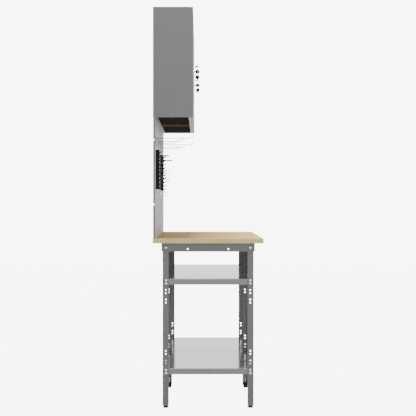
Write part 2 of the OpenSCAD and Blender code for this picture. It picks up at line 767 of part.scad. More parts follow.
// A key lying in Y and Z with its bow at the origin and its blade along +Y
module key_shape(hole_y_off, blade_reach) {
  difference() {
    union() {
      rod([-bow_t / 2, 0, 0], [1, 0, 0], bow_t, bow_d);
      slab([-bow_t / 2, 0, -5], [bow_t / 2, bow_out - 8, 5]);
      slab([-blade_t / 2, 0, -blade_h / 2], [blade_t / 2, blade_reach, blade_h / 2]);
    }
    rod([-bow_t, hole_y_off, 0], [1, 0, 0], 2 * bow_t, bow_hole);
  }
}

module key(k) {
  color("#161616") translate([lock_x(k), case_front - bow_out, lock_z])
    key_shape(0, bow_out - 7.5 + blade_in);
}

module spare_key(k) {
  color("#161616") translate([lock_x(k), case_front - bow_out, lock_z - ring_d - spare_hole])
    rotate([-90, 0, 0]) key_shape(-spare_hole, spare_reach);
}

module key_ring(k) {
  color("#c9cbcd") translate([lock_x(k), case_front - bow_out, lock_z - ring_d / 2]) rotate([90, 0, 0])
    rotate_extrude() translate([ring_d / 2, 0]) circle(d = ring_wire);
}

// ---- Hooks and holders ----

// How deep the pegs and rods start inside their plates
root_in = 1;

// A hole of the perforation on panel i, c columns and r rows from its middle
function hole_at(i, c, r) =
  [-half_l + (i + 0.5) * panel_w + c * perf_pitch, panel_face, panel_mid + r * perf_pitch];

// A back plate on the panel's face with a peg in each hole that it covers, top and bottom
module back_plate(p, w, low_rows, t) {
  high = 7;
  drop = low_rows * perf_pitch;
  slab([p[0] - w / 2, p[1] - t, p[2] - drop - high], [p[0] + w / 2, p[1], p[2] + high]);
  for (z = [p[2], p[2] - drop]) rod([p[0], p[1] - root_in, z], [0, 1, 0], peg_len + root_in, peg_d);
}

hook_drop = 8;
module hook(p, reach) {
  back_plate(p, 12, 2, hook_plate_t);
  z = p[2] - hook_drop;
  y = p[1] - hook_plate_t;
  rod([p[0], y + root_in, z], [0, -1, 0], reach - hook_plate_t + root_in, rod_d);
  translate([p[0], p[1] - reach, z]) {
    sphere(d = rod_d);
    rotate([45, 0, 0]) cylinder(d = rod_d, h = hook_tip);
    rotate([45, 0, 0]) translate([0, 0, hook_tip]) sphere(d = rod_d);
  }
}

hook_row = 14;
module hooks_long() {
  color("#a9abad") for (i = [0, 2]) hook(hole_at(i, -8, hook_row), hook_long);
}

module hooks_medium() {
  color("#a9abad") for (i = [1, 3]) hook(hole_at(i, -2 * floor((cols - 1) / 2), hook_row), hook_medium);
}

module hooks_short() {
  color("#a9abad") for (i = [1, 3]) hook(hole_at(i, 4, hook_row), hook_short);
}

// A flat bar with a row of prongs for screwdrivers and pliers
module prong_rack(p) {
  bar_w = max((prong_n - 1) * prong_step + 14, 4 * perf_pitch + peg_d + 6);
  slab([p[0] - bar_w / 2, p[1] - 2, p[2] - 9], [p[0] + bar_w / 2, p[1], p[2] + 9]);
  for (c = [-2, 2])
    rod([p[0] + c * perf_pitch, p[1] - root_in, p[2]], [0, 1, 0], peg_len + root_in, peg_d);
  for (n = [0:prong_n - 1]) {
    x = p[0] + (n - (prong_n - 1) / 2) * prong_step;
    rod([x, p[1] - root_in, p[2]], [0, -1, 0], prong_len - root_in - prong_d / 2, prong_d);
    translate([x, p[1] - prong_len + prong_d / 2, p[2]]) sphere(d = prong_d);
  }
}

module prong_racks() {
  color("#a9abad") for (i = [0, 2]) prong_rack(hole_at(i, 4, 8));
}

// A wire circle in Y and Z with its lowest point at the origin, from one angle over a sweep
module wire_arc(r, d, from, sweep) {
  translate([0, 0, r]) rotate([90, 0, 90]) rotate([0, 0, from]) rotate_extrude(angle = sweep)
    translate([r, 0]) circle(d = d);
}

// A straight rod that curls up at the end
module curved_hook(p) {
  z = p[2] - hook_drop;
  reach = 40;
  back_plate(p, 12, 2, hook_plate_t);
  rod([p[0], p[1] - root_in, z], [0, -1, 0], reach - root_in, rod_d);
  translate([p[0], p[1] - reach, z]) wire_arc(curl_r, rod_d, 180, 90);
}

module curved_hooks() {
  color("#a9abad") for (i = [1, 3]) curved_hook(hole_at(i, 2, 4));
}

// A rod that ends in an open ring
module ring_hook(p) {
  z = p[2] - hook_drop;
  reach = 34;
  back_plate(p, 12, 2, hook_plate_t);
  rod([p[0], p[1] - root_in, z], [0, -1, 0], reach - root_in, rod_d);
  translate([p[0], p[1] - reach, z - 2 * ring_hook_r]) wire_arc(ring_hook_r, rod_d, 90, 300);
}

module ring_hooks() {
  color("#a9abad") for (i = [1, 3]) ring_hook(hole_at(i, -4, 2));
}

// Black comb with slanted teeth, each slot holds one spanner
rack_rows = 2 * floor(tooth_n * tooth_pitch * 0.4 / perf_pitch);
module spanner_rack(p) {
  mid = p[2] - rack_rows / 2 * perf_pitch;
  high = tooth_n * tooth_pitch;
  low = mid - high / 2;
  rise = (tooth_out - rack_back) * tan(tooth_tilt);
  slab([p[0] - rack_w / 2, p[1] - rack_back, low], [p[0] + rack_w / 2, p[1], low + high]);
  for (z = [p[2], p[2] - rack_rows * perf_pitch])
    rod([p[0], p[1] - root_in, z], [0, 1, 0], peg_len + root_in, peg_d);
  for (n = [0:tooth_n - 1]) {
    z = low + n * tooth_pitch;
    translate([p[0] - rack_w / 2, 0, 0]) stand_yz(rack_w) polygon([
      [p[1] - rack_back + root_in, z], [p[1] - tooth_out, z + rise],
      [p[1] - tooth_out, z + rise + tooth_t], [p[1] - rack_back + root_in, z + tooth_t * 1.4]
    ]);
  }
}

module spanner_racks() {
  color("#151515") for (i = [0, 2]) spanner_rack(hole_at(i, -4, 8));
}

// Steel strap bent into a box, with two pairs of rods in front for one long tool
module tool_holder(p) {
  t = 1.5;
  z1 = p[2] + 1;
  z0 = p[2] - 2 * perf_pitch;
  difference() {
    slab([p[0] - holder_w / 2, p[1] - holder_dep, z0], [p[0] + holder_w / 2, p[1], z1]);
    slab([p[0] - holder_w, p[1] - holder_dep + t, z0 + t], [p[0] + holder_w, p[1] - t, z1 - t]);
  }
  for (c = [-1, 1])
    rod([p[0] + c * perf_pitch, p[1] - root_in, p[2] - perf_pitch], [0, 1, 0], peg_len + root_in, peg_d);
  for (s = [-1, 1]) for (z = [z0 + 3, z1 - 6])
    rod([p[0] + s * 14, p[1] - holder_dep + root_in, z], [0, -1, 0], holder_out - holder_dep + root_in, 3);
}

module tool_holders() {
  color("#7e8081") for (i = [0, 2]) tool_holder(hole_at(i, 4, -4));
}

worktop();
long_rail(-1);  // rail_front
long_rail(1);  // rail_rear
end_rail(-1);  // rail_end_left
end_rail(1);  // rail_end_right
rail_middle();
leg(LEFT, -1);  // leg_left_front
leg(LEFT, 1);  // leg_left_rear
leg(MIDDLE, -1);  // leg_middle_front
leg(MIDDLE, 1);  // leg_middle_rear
leg(RIGHT, -1);  // leg_right_front
leg(RIGHT, 1);  // leg_right_rear
foot_sockets();
foot(LEFT, -1);  // foot_left_front
foot(LEFT, 1);  // foot_left_rear
foot(MIDDLE, -1);  // foot_middle_front
foot(MIDDLE, 1);  // foot_middle_rear
foot(RIGHT, -1);  // foot_right_front
foot(RIGHT, 1);  // foot_right_rear
shelf_pan(-leg_x + leg_t, -leg_t / 2, upper_z);  // shelf_upper_left
shelf_pan(leg_t / 2, leg_x - leg_t, upper_z);  // shelf_upper_right
shelf_pan(-leg_x + leg_t, -leg_t / 2, lower_z);  // shelf_lower_left
shelf_pan(leg_t / 2, leg_x - leg_t, lower_z);  // shelf_lower_right
panel(0);  // panel_1
panel(1);  // panel_2
panel(2);  // panel_3
panel(3);  // panel_4
cabinet(0);  // cabinet_left
cabinet(1);  // cabinet_right
cabinet_shelves();
cabinet_lips();
door(0, 0, true);  // door_left_outer
door(0, 1, false);  // door_left_inner
door(1, 0, false);  // door_right_inner
door(1, 1, true);  // door_right_outer
hinge_pins();
pull(0);  // pull_left
pull(1);  // pull_right
lock_body(0);  // lock_body_left
lock_body(1);  // lock_body_right
lock_cam(0);  // lock_cam_left
lock_cam(1);  // lock_cam_right
key(0);  // key_left
key(1);  // key_right
key_ring(0);  // key_ring_left
key_ring(1);  // key_ring_right
spare_key(0);  // spare_key_left
spare_key(1);  // spare_key_right
hooks_long();
hooks_medium();
hooks_short();
prong_racks();
curved_hooks();
ring_hooks();
spanner_racks();
tool_holders();
frame_bolts();
frame_nuts();
worktop_screws();
panel_screws();
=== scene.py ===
import json
import math

import bmesh
import bpy
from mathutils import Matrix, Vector


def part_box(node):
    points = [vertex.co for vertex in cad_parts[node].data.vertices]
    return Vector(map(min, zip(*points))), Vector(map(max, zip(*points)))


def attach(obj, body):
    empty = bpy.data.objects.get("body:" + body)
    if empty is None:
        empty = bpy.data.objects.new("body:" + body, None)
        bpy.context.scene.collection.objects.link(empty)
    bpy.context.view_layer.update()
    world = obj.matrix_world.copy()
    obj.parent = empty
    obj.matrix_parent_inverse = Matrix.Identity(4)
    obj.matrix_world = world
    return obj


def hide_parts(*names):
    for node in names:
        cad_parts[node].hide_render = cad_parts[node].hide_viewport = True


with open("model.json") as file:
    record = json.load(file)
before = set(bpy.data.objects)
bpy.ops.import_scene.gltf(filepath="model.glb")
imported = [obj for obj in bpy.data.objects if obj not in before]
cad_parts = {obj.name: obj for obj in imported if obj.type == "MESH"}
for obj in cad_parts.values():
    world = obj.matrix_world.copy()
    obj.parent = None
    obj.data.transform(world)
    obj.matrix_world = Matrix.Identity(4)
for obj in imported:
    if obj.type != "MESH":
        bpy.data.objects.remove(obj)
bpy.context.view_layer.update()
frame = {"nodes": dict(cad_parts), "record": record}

NODES = frame["nodes"]
MM = 0.001


# ---- Materials ----

def rgb(code):
    """A linear colour with alpha, from an sRGB hex code."""
    parts = [int(code[i:i + 2], 16) / 255 for i in (1, 3, 5)]
    return [c / 12.92 if c <= 0.04045 else ((c + 0.055) / 1.055) ** 2.4 for c in parts] + [1.0]


def add(tree, kind, inputs=None, **settings):
    """Adds a node, sets its properties, and sets or links its inputs."""
    n = tree.nodes.new(kind)
    for key, value in settings.items():
        setattr(n, key, value)
    for key, value in (inputs or {}).items():
        if isinstance(value, bpy.types.NodeSocket):
            tree.links.new(value, n.inputs[key])
        else:
            n.inputs[key].default_value = value
    return n


def start_material(name):
    """A new material, its empty node tree and its object coordinates."""
    m = bpy.data.materials.new(name)
    m.use_nodes = True
    t = m.node_tree
    t.nodes.clear()
    where = add(t, "ShaderNodeTexCoord").outputs["Object"]
    return m, t, where


def close_material(t, colour, rough, bump, metal=0.0, specular=0.5):
    """Joins the values to a shader and to the material's output."""
    shader = add(t, "ShaderNodeBsdfPrincipled", {
        "Base Color": colour, "Roughness": rough, "Metallic": metal, "Coat Weight": 0.0,
        "Specular IOR Level": specular, "Normal": bump})
    add(t, "ShaderNodeOutputMaterial", {"Surface": shader.outputs[0]})


def mottled(t, where, low, high, size_mm):
    """A soft mix of two close colours in patches of about size_mm."""
    noise = add(t, "ShaderNodeTexNoise", {"Vector": where, "Scale": 1000 / size_mm, "Detail": 3.0})
    mix = add(t, "ShaderNodeMix", {"Factor": noise.outputs["Fac"]}, data_type="RGBA")
    mix.inputs[6].default_value = rgb(low)
    mix.inputs[7].default_value = rgb(high)
    return mix.outputs[2]


def grain_bump(t, where, size_mm, height_mm, strength=0.4):
    """A fine relief, size_mm across and height_mm high, as a normal."""
    noise = add(t, "ShaderNodeTexNoise", {"Vector": where, "Scale": 1000 / size_mm, "Detail": 2.0})
    return add(t, "ShaderNodeBump", {"Height": noise.outputs["Fac"], "Distance": height_mm * MM,
                                     "Strength": strength}).outputs["Normal"]


def varied(t, where, low, high, size_mm):
    """A roughness that drifts between two values in patches of about size_mm."""
    noise = add(t, "ShaderNodeTexNoise", {"Vector": where, "Scale": 1000 / size_mm, "Detail": 2.0})
    spread = {"Value": noise.outputs["Fac"], "To Min": low, "To Max": high}
    return add(t, "ShaderNodeMapRange", spread).outputs[0]


def powder_coat(name, low, high, rough=(0.42, 0.52), specular=0.2, peel=0.12):
    """Baked powder paint on steel sheet, with a faint orange peel."""
    m, t, where = start_material(name)
    close_material(t, mottled(t, where, low, high, 220), varied(t, where, rough[0], rough[1], 90),
                   bump=grain_bump(t, where, 1.6, 0.012, peel), specular=specular)
    return m


def bare_metal(name, low, high, rough):
    """Plated steel with fine drawn marks along its length."""
    m, t, where = start_material(name)
    long = add(t, "ShaderNodeMapping", {"Vector": where, "Scale": (1.0, 0.12, 1.0)}).outputs[0]
    close_material(t, mottled(t, long, low, high, 2.5), varied(t, where, rough[0], rough[1], 6), metal=1.0,
                   bump=grain_bump(t, long, 0.6, 0.004))
    return m


def moulded(name, low, high, rough, size_mm=12, specular=0.35):
    """Moulded plastic or rubber with a fine spark-eroded grain."""
    m, t, where = start_material(name)
    close_material(t, mottled(t, where, low, high, size_mm), varied(t, where, rough[0], rough[1], 20),
                   bump=grain_bump(t, where, 0.5, 0.01), specular=specular)
    return m


def timber(name, dark, light, streak, pore, specular):
    """Oiled hardwood with the grain along X: broad streaks, fine lines and short pores."""
    m, t, where = start_material(name)
    broad = add(t, "ShaderNodeMapping", {"Vector": where, "Scale": (0.06, 1.0, 1.0)}).outputs[0]
    noise = add(t, "ShaderNodeTexNoise", {"Vector": broad, "Scale": 1000 / 38, "Detail": 5.0,
                                          "Distortion": 0.6})
    fine = add(t, "ShaderNodeMapping", {"Vector": where, "Scale": (0.03, 1.0, 1.0)}).outputs[0]
    lines = add(t, "ShaderNodeTexNoise", {"Vector": fine, "Scale": 1000 / 3.2, "Detail": 3.0})
    base = add(t, "ShaderNodeMix", {"Factor": noise.outputs["Fac"]}, data_type="RGBA")
    base.inputs[6].default_value = rgb(dark)
    base.inputs[7].default_value = rgb(light)
    share = add(t, "ShaderNodeMapRange", {"Value": lines.outputs["Fac"], "From Min": 0.5, "From Max": 0.75,
                                          "To Min": 0.0, "To Max": 0.45}).outputs[0]
    grain = add(t, "ShaderNodeMix", {"Factor": share, 6: base.outputs[2]}, data_type="RGBA")
    grain.inputs[7].default_value = rgb(streak)
    axes = add(t, "ShaderNodeSeparateXYZ", {"Vector": where}).outputs
    count = add(t, "ShaderNodeMath", {0: axes["Y"], 1: 1000 / 46}, operation="MULTIPLY").outputs[0]
    stave = add(t, "ShaderNodeMath", {0: count}, operation="FLOOR").outputs[0]
    chance = add(t, "ShaderNodeTexWhiteNoise", {"W": stave}, noise_dimensions="1D").outputs["Value"]
    value = add(t, "ShaderNodeMapRange", {"Value": chance, "To Min": 0.93, "To Max": 1.05}).outputs[0]
    toned = add(t, "ShaderNodeHueSaturation", {"Color": grain.outputs[2], "Value": value}).outputs[0]
    dots = add(t, "ShaderNodeMapping", {"Vector": where, "Scale": (0.12, 1.0, 1.0)}).outputs[0]
    cells = add(t, "ShaderNodeTexVoronoi", {"Vector": dots, "Scale": 1000 / 2.4})
    hit = add(t, "ShaderNodeMapRange", {"Value": cells.outputs["Distance"], "From Min": 0.05,
                                        "From Max": 0.16, "To Min": 0.35, "To Max": 0.0}).outputs[0]
    pores = add(t, "ShaderNodeMix", {"Factor": hit, 6: toned}, data_type="RGBA")
    pores.inputs[7].default_value = rgb(pore)
    close_material(t, pores.outputs[2], varied(t, where, 0.50, 0.62, 60), bump=grain_bump(t, fine, 1.2, 0.02),
                   specular=specular)
    return m


STEEL = powder_coat("grey_powder_coat", "#7b7c7c", "#818282")
TRAY = powder_coat("grey_powder_coat_shelves", "#6f7071", "#757677", rough=(0.10, 0.14), specular=0.8,
                   peel=0.03)
PANEL = powder_coat("grey_powder_coat_panels", "#858686", "#8b8c8c")
# The cabinet's grey paint made darker for its inner shelves and lips: painted shade
CASE_SHADED = powder_coat("grey_powder_coat_painted_shade", "#6c6d6d", "#727373")
ZINC = bare_metal("zinc_plated_steel", "#b4b7b9", "#c6c9cb", (0.28, 0.42))
DULL = bare_metal("dull_zinc_hooks", "#4a4c4e", "#585a5c", (0.30, 0.45))
BRIGHT = bare_metal("bright_chrome", "#d6d8da", "#e4e6e8", (0.08, 0.16))
BLACK = moulded("black_nylon", "#0c0c0d", "#131314", (0.50, 0.60), specular=0.12)
RUBBER = moulded("black_rubber", "#0f0f0f", "#171717", (0.7, 0.85))
PULL = moulded("dark_grey_nylon", "#3c3c3d", "#474748", (0.35, 0.45))
WOOD = timber("oiled_beech", "#c9a25a", "#d6b370", "#ae8a50", "#82663a", 0.02)
# End grain of the worktop, much lighter than the top: painted light on its end faces
ENDGRAIN_PAINTED_LIGHT = timber("oiled_beech_end_painted_light", "#fbd88c", "#ffe6a4", "#e6bf74", "#b8904e", 0.2)

LOOKS = {"wood_top": WOOD, "grey_paint": STEEL, "panel_paint": PANEL, "zinc_steel": ZINC,
         "bright_steel": BRIGHT, "black_plastic": BLACK, "black_rubber": RUBBER, "dark_pull": PULL}


# ---- Mesh helpers ----

def flatten(o):
    """Keeps broad faces shaded flat next to rounded edges."""
    even = o.modifiers.new("even_shading", "WEIGHTED_NORMAL")
    even.keep_sharp = True


def piece(name, bm, material, body, replaced=()):
    """Turns a finished mesh into a piece that rides on a body."""
    mesh = bpy.data.meshes.new(name)
    bmesh.ops.recalc_face_normals(bm, faces=bm.faces[:])
    bm.to_mesh(mesh)
    bm.free()
    for m in material if isinstance(material, list) else [material]:
        mesh.materials.append(m)
    mesh.shade_smooth()
    mesh.set_sharp_from_angle(angle=math.radians(32))
    o = bpy.data.objects.new(name, mesh)
    flatten(o)
    bpy.context.scene.collection.objects.link(o)
    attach(o, body)
    if replaced:
        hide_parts(*replaced)
    return o


def block(bm, lo, hi, r, segments=2):
    """Adds a box between two corners with all edges rounded."""
    made = bmesh.ops.create_cube(bm, size=1.0)["verts"]
    lo, hi = Vector(lo), Vector(hi)
    for v in made:
        v.co = Vector((lo[i] + (v.co[i] + 0.5) * (hi[i] - lo[i]) for i in range(3)))
    edges = list(dict.fromkeys(e for v in made for e in v.link_edges))
    if r > 0:
        bmesh.ops.bevel(bm, geom=edges, offset=r, segments=segments, profile=0.5, affect="EDGES")


def frame_of(direction):
    """A unit vector along direction, and two across it."""
    d = Vector(direction).normalized()
    side = d.cross(Vector((0, 0, 1)) if abs(d.z) < 0.9 else Vector((1, 0, 0))).normalized()
    return d, side, d.cross(side)


def lathe(bm, base, direction, profile, steps=32):
    """Adds a turned solid: profile is a list of (radius, distance along direction)."""
    d, u, v = frame_of(direction)
    rings = []
    for r, h in profile:
        centre = Vector(base) + d * h
        if r < 1e-7:
            rings.append([bm.verts.new(centre)])
        else:
            rings.append([bm.verts.new(centre + (u * math.cos(a) + v * math.sin(a)) * r)
                          for a in (2 * math.pi * i / steps for i in range(steps))])
    for a, b in zip(rings, rings[1:]):
        for i in range(steps):
            j = (i + 1) % steps
            if len(a) == 1 and len(b) == 1:
                continue
            if len(a) == 1:
                bm.faces.new((a[0], b[i], b[j]))
            elif len(b) == 1:
                bm.faces.new((a[i], a[j], b[0]))
            else:
                bm.faces.new((a[i], a[j], b[j], b[i]))


def tube(bm, points, r):
    """Adds a round rod along points, with domed ends."""
    steps = 14
    pts = [Vector(p) for p in points]
    n = len(pts)
    tangents = []
    for i in range(n):
        tangents.append((pts[min(i + 1, n - 1)] - pts[max(i - 1, 0)]).normalized())
    _, u, _ = frame_of(tangents[0])
    rings = []
    for p, d in zip(pts, tangents):
        u = (u - d * u.dot(d)).normalized()
        v = d.cross(u)
        rings.append([bm.verts.new(p + (u * math.cos(a) + v * math.sin(a)) * r)
                      for a in (2 * math.pi * i / steps for i in range(steps))])
    for a, b in zip(rings, rings[1:]):
        for i in range(steps):
            j = (i + 1) % steps
            bm.faces.new((a[i], a[j], b[j], b[i]))
    for ring, p, d in ((rings[0], pts[0], -tangents[0]), (rings[-1], pts[-1], tangents[-1])):
        inner = [bm.verts.new(p + (v.co - p) * 0.7 + d * r * 0.35) for v in ring]
        for i in range(steps):
            j = (i + 1) % steps
            bm.faces.new((ring[i], ring[j], inner[j], inner[i]))
        bm.faces.new(inner)


# ---- The CAD nodes that are shown as they are ----

SLOT_OF = {s["node"]: s["material_slot"] for s in frame["record"]["subparts"]}
OWN_LOOKS = {"shelf_": TRAY, "cabinet_shelves": CASE_SHADED, "cabinet_lips": CASE_SHADED, "hooks_": DULL,
             "prong_racks": DULL, "curved_hooks": DULL, "ring_hooks": DULL}
for name, node in NODES.items():
    node.data.materials.clear()
    own = [m for start, m in OWN_LOOKS.items() if name.startswith(start)]
    node.data.materials.append(own[0] if own else LOOKS[SLOT_OF[name]])

# Bend radii on the sheet steel parts, in mm
SHEETS = {"rail_": 0.8, "leg_": 0.6, "cabinet_": 0.5, "door_": 0.55, "tool_holders": 0.4,
          "spanner_racks": 0.6, "foot_sockets": 0.8, "key_": 0.5, "spare_key_": 0.5}
for name, node in NODES.items():
    for start, radius in SHEETS.items():
        if name.startswith(start) and not name.startswith("key_ring"):
            flat = node.modifiers.new("flat_faces", "DECIMATE")
            flat.decimate_type = "DISSOLVE"
            flat.angle_limit = math.radians(1.0)
            bend = node.modifiers.new("bend_radius", "BEVEL")
            bend.width = radius * MM
            bend.segments = 2
            bend.limit_method = "ANGLE"
            bend.angle_limit = math.radians(50)
            bend.use_clamp_overlap = True
            bend.harden_normals = True
            flatten(node)

# ---- Worktop ----

lo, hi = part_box("worktop")
bm = bmesh.new()
block(bm, lo, hi, 1.6 * MM, 3)
# The two end faces take the lighter end-grain wood, which holds painted light
for f in bm.faces:
    if abs(f.normal.x) > 0.5:
        f.material_index = 1
piece("worktop_board", bm, [WOOD, ENDGRAIN_PAINTED_LIGHT], "bench", ["worktop"])

# ---- Dark sheets under the cabinet floors: painted shade ----

# A thin near-black matte sheet just above each cabinet's bottom edges: painted shade on the floor's underside
UNDERSIDE_SHADE = moulded("painted_shade_underside", "#363331", "#3e3b39", (0.85, 0.95), 60, 0.0)
for side in ("left", "right"):
    lo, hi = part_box(f"cabinet_{side}")
    bm = bmesh.new()
    block(bm, (lo.x + 1.3 * MM, lo.y + 25.1 * MM, lo.z + 7.5 * MM),
          (hi.x - 1.3 * MM, hi.y - 22.1 * MM, lo.z + 7.98 * MM), 0)
    piece(f"underside_{side}", bm, UNDERSIDE_SHADE, "bench")

# ---- Feet: ribbed pads and threaded stems ----

# Where the thread starts and stops above the pad's sole, and its pitch, in mm
THREAD_FROM = 9.9
THREAD_TO = 59.0
PITCH = 1.25

STATIONS = [(side, row) for side in ("left", "middle", "right") for row in ("front", "rear")]
for side, row in STATIONS:
    name = f"foot_{side}_{row}"
    lo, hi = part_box(name)
    mid = (lo + hi) / 2
    r = (hi.x - lo.x) / 2
    base = (mid.x, mid.y, lo.z)
    bm = bmesh.new()
    lathe(bm, base, (0, 0, 1), [
        (0, 0), (r - 2.2 * MM, 0), (r - 0.9 * MM, 0.5 * MM), (r - 0.1 * MM, 1.8 * MM), (r, 3.2 * MM),
        (r - 0.8 * MM, 3.8 * MM), (r - 0.8 * MM, 4.5 * MM), (r, 5.1 * MM), (r - 0.1 * MM, 7.8 * MM),
        (r - 1.4 * MM, 9.4 * MM), (r - 3.4 * MM, 10.0 * MM), (0, 10.0 * MM)], 40)
    piece(f"pad_{side}_{row}", bm, RUBBER, f"foot_body_{side}_{row}", [name])
    bm = bmesh.new()
    stem = [(0, THREAD_FROM * MM)]
    h = THREAD_FROM
    while h < THREAD_TO:
        stem += [(3.35 * MM, h * MM), (3.95 * MM, (h + 0.62) * MM)]
        h += PITCH
    stem += [(3.3 * MM, 59.2 * MM), (2.7 * MM, 59.9 * MM), (0, 59.9 * MM)]
    lathe(bm, base, (0, 0, 1), stem, 24)
    piece(f"stem_{side}_{row}", bm, ZINC, f"foot_body_{side}_{row}")

# ---- Hanger clips in the notches of the panels' side folds ----

CLIP_LEVELS = (185 * MM, 535 * MM)
CLIP_LEN = 12 * MM
CLIP_SET_IN = 0.2 * MM
CLIP_HALF = 3.9 * MM

bm = bmesh.new()
bench_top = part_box("worktop")[1].z
for i in range(1, 5):
    plo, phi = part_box(f"panel_{i}")
    for z in (bench_top + level for level in CLIP_LEVELS):
        for x, d in ((plo.x, 1), (phi.x, -1)):
            x_lo = min(x, x + d * CLIP_LEN) + d * CLIP_SET_IN
            x_hi = max(x, x + d * CLIP_LEN) + d * CLIP_SET_IN
            block(bm, (x_lo, phi.y - 7.4 * MM, z - CLIP_HALF),
                  (x_hi, phi.y - 5.9 * MM, z + CLIP_HALF), 0.3 * MM)
            block(bm, (x_lo, phi.y - 6.2 * MM, z - CLIP_HALF),
                  (x_hi, phi.y - 0.3 * MM, z - 2.5 * MM), 0.3 * MM)
piece("panel_clips", bm, ZINC, "bench")

# ---- Locks, keys, rings and pulls ----

# Half the thickness and half the height of the key blades, just over the CAD's own
BLADE_T = 1.06 * MM
BLADE_H = 3.56 * MM
LOCK_BACK = -22.0 * MM

for side in ("left", "right"):
    door = f"door_{side}_outer_body"
    lo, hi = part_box(f"lock_body_{side}")
    mid = (lo + hi) / 2
    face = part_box(f"door_{side}_outer")[0].y
    bm = bmesh.new()
    lathe(bm, (mid.x, face, mid.z), (0, -1, 0), [
        (5.6 * MM, LOCK_BACK), (8.0 * MM, LOCK_BACK), (8.0 * MM, -0.2 * MM), (10.2 * MM, 0.0),
        (10.5 * MM, 0.7 * MM), (10.1 * MM, 1.8 * MM), (9.2 * MM, 2.5 * MM), (8.6 * MM, 2.6 * MM),
        (8.5 * MM, 6.2 * MM), (8.1 * MM, 6.8 * MM), (7.2 * MM, 7.0 * MM), (5.9 * MM, 7.0 * MM),
        (5.6 * MM, 6.7 * MM), (5.6 * MM, LOCK_BACK)], 40)
    lathe(bm, (mid.x, face, mid.z), (0, -1, 0), [
        (8.05 * MM, -6.1 * MM), (10.9 * MM, -6.0 * MM), (11.0 * MM, -5.6 * MM), (11.0 * MM, -1.8 * MM),
        (10.6 * MM, -1.4 * MM), (8.05 * MM, -1.4 * MM), (8.05 * MM, -6.1 * MM)], 6)
    piece(f"lock_shell_{side}", bm, BRIGHT, door, [f"lock_body_{side}"])

    plo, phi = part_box(f"pull_{side}")
    pm = (plo + phi) / 2
    bm = bmesh.new()
    lathe(bm, (pm.x, face, pm.z), (0, -1, 0), [
        (0, -7.2 * MM), (2.4 * MM, -7.2 * MM), (2.4 * MM, -4.7 * MM), (5.0 * MM, -4.7 * MM),
        (5.0 * MM, -1.25 * MM), (2.5 * MM, -1.2 * MM), (2.5 * MM, 0.0), (4.6 * MM, 0.0), (4.6 * MM, 0.9 * MM),
        (4.0 * MM, 1.4 * MM), (2.6 * MM, 1.7 * MM), (2.45 * MM, 2.4 * MM), (2.45 * MM, 8.6 * MM),
        (2.9 * MM, 9.05 * MM), (0, 9.1 * MM)], 28)
    piece(f"pull_stem_{side}", bm, BRIGHT, door)
    bm = bmesh.new()
    r = (phi.x - plo.x) / 2
    lathe(bm, (pm.x, face, pm.z), (0, -1, 0), [
        (0, 9.0 * MM), (r - 1.6 * MM, 9.0 * MM), (r - 0.5 * MM, 9.4 * MM), (r, 10.4 * MM),
        (r - 0.1 * MM, 12.2 * MM), (r * 0.87, 15.0 * MM), (r * 0.84, 17.5 * MM), (r * 0.88, 21.0 * MM),
        (r * 0.99, 25.4 * MM), (r, 26.8 * MM), (r - 0.5 * MM, 28.2 * MM), (r - 1.7 * MM, 28.9 * MM),
        (r - 3.0 * MM, 28.6 * MM), (0, 28.6 * MM)], 36)
    piece(f"pull_grip_{side}", bm, PULL, door, [f"pull_{side}"])

    # steel blades: one key is in the plug, the other hangs on the ring
    klo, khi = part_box(f"key_{side}")
    km = (klo + khi) / 2
    bow_y = klo.y + (khi.z - klo.z) / 2
    bm = bmesh.new()
    block(bm, (km.x - BLADE_T, bow_y + 12.6 * MM, km.z - BLADE_H),
          (km.x + BLADE_T, face - 7.6 * MM, km.z + BLADE_H), 0.2 * MM)
    piece(f"key_neck_{side}", bm, BRIGHT, f"lock_{side}")
    slo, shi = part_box(f"spare_key_{side}")
    sm = (slo + shi) / 2
    bm = bmesh.new()
    block(bm, (sm.x - BLADE_T, bow_y - BLADE_H, slo.z - 0.06 * MM),
          (sm.x + BLADE_T, bow_y + BLADE_H, shi.z - 24 * MM), 0.3 * MM)
    for i, depth in enumerate((0.9, 1.5, 0.7, 1.3)):
        z = slo.z + (2.5 + 2.6 * i) * MM
        block(bm, (sm.x - 0.7 * MM, bow_y - BLADE_H - depth * 0.4 * MM, z),
              (sm.x + 0.7 * MM, bow_y - 3.3 * MM, z + 1.5 * MM), 0)
    piece(f"spare_blade_{side}", bm, BRIGHT, f"keys_{side}")

# ---- Hooks: bent rods on plates, with two pegs through the panel ----

# The panels' front, and the distance between two rows of holes that the pegs use
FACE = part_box("panel_1")[0].y
ROWS = 32.4 * MM
PLATE_T = 2.0 * MM
HALF_PLATE = 6.0 * MM
HALF_RACK = 45.0 * MM


def peg(bm, x, z):
    """A chamfered peg that goes into one hole of the panel."""
    lathe(bm, (x, FACE - 1.0 * MM, z), (0, 1, 0), [
        (0, 0), (3.75 * MM, 0), (3.75 * MM, 6.0 * MM), (3.4 * MM, 6.7 * MM), (2.7 * MM, 7.0 * MM),
        (0, 7.0 * MM)], 20)


def hook_pair(node, out, path):
    """Two equal hooks: out is from the node's front to the bend, path is the rod's end as (y, z)."""
    lo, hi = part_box(node)
    top = lo.z + ROWS + 7.0 * MM
    rod = top - 8.0 * MM
    bend = lo.y + out
    bm = bmesh.new()
    for x in (lo.x + HALF_PLATE, hi.x - HALF_PLATE):
        block(bm, (x - HALF_PLATE, FACE - PLATE_T, lo.z), (x + HALF_PLATE, FACE, top + 7.0 * MM), 0.7 * MM)
        peg(bm, x, top)
        peg(bm, x, top - ROWS)
        tube(bm, [(x, FACE - 1.0 * MM, rod)] + [(x, bend + y, rod + z) for y, z in path], 2.0 * MM)
    piece(f"{node}_bent", bm, DULL, "bench", [node])


def turn(r, start, stop, steps):
    """Points on a circle in Y and Z, as (sine, cosine) offsets of radius r."""
    angles = [math.radians(start + (stop - start) * i / steps) for i in range(steps + 1)]
    return [(r * math.sin(a), r * math.cos(a)) for a in angles]


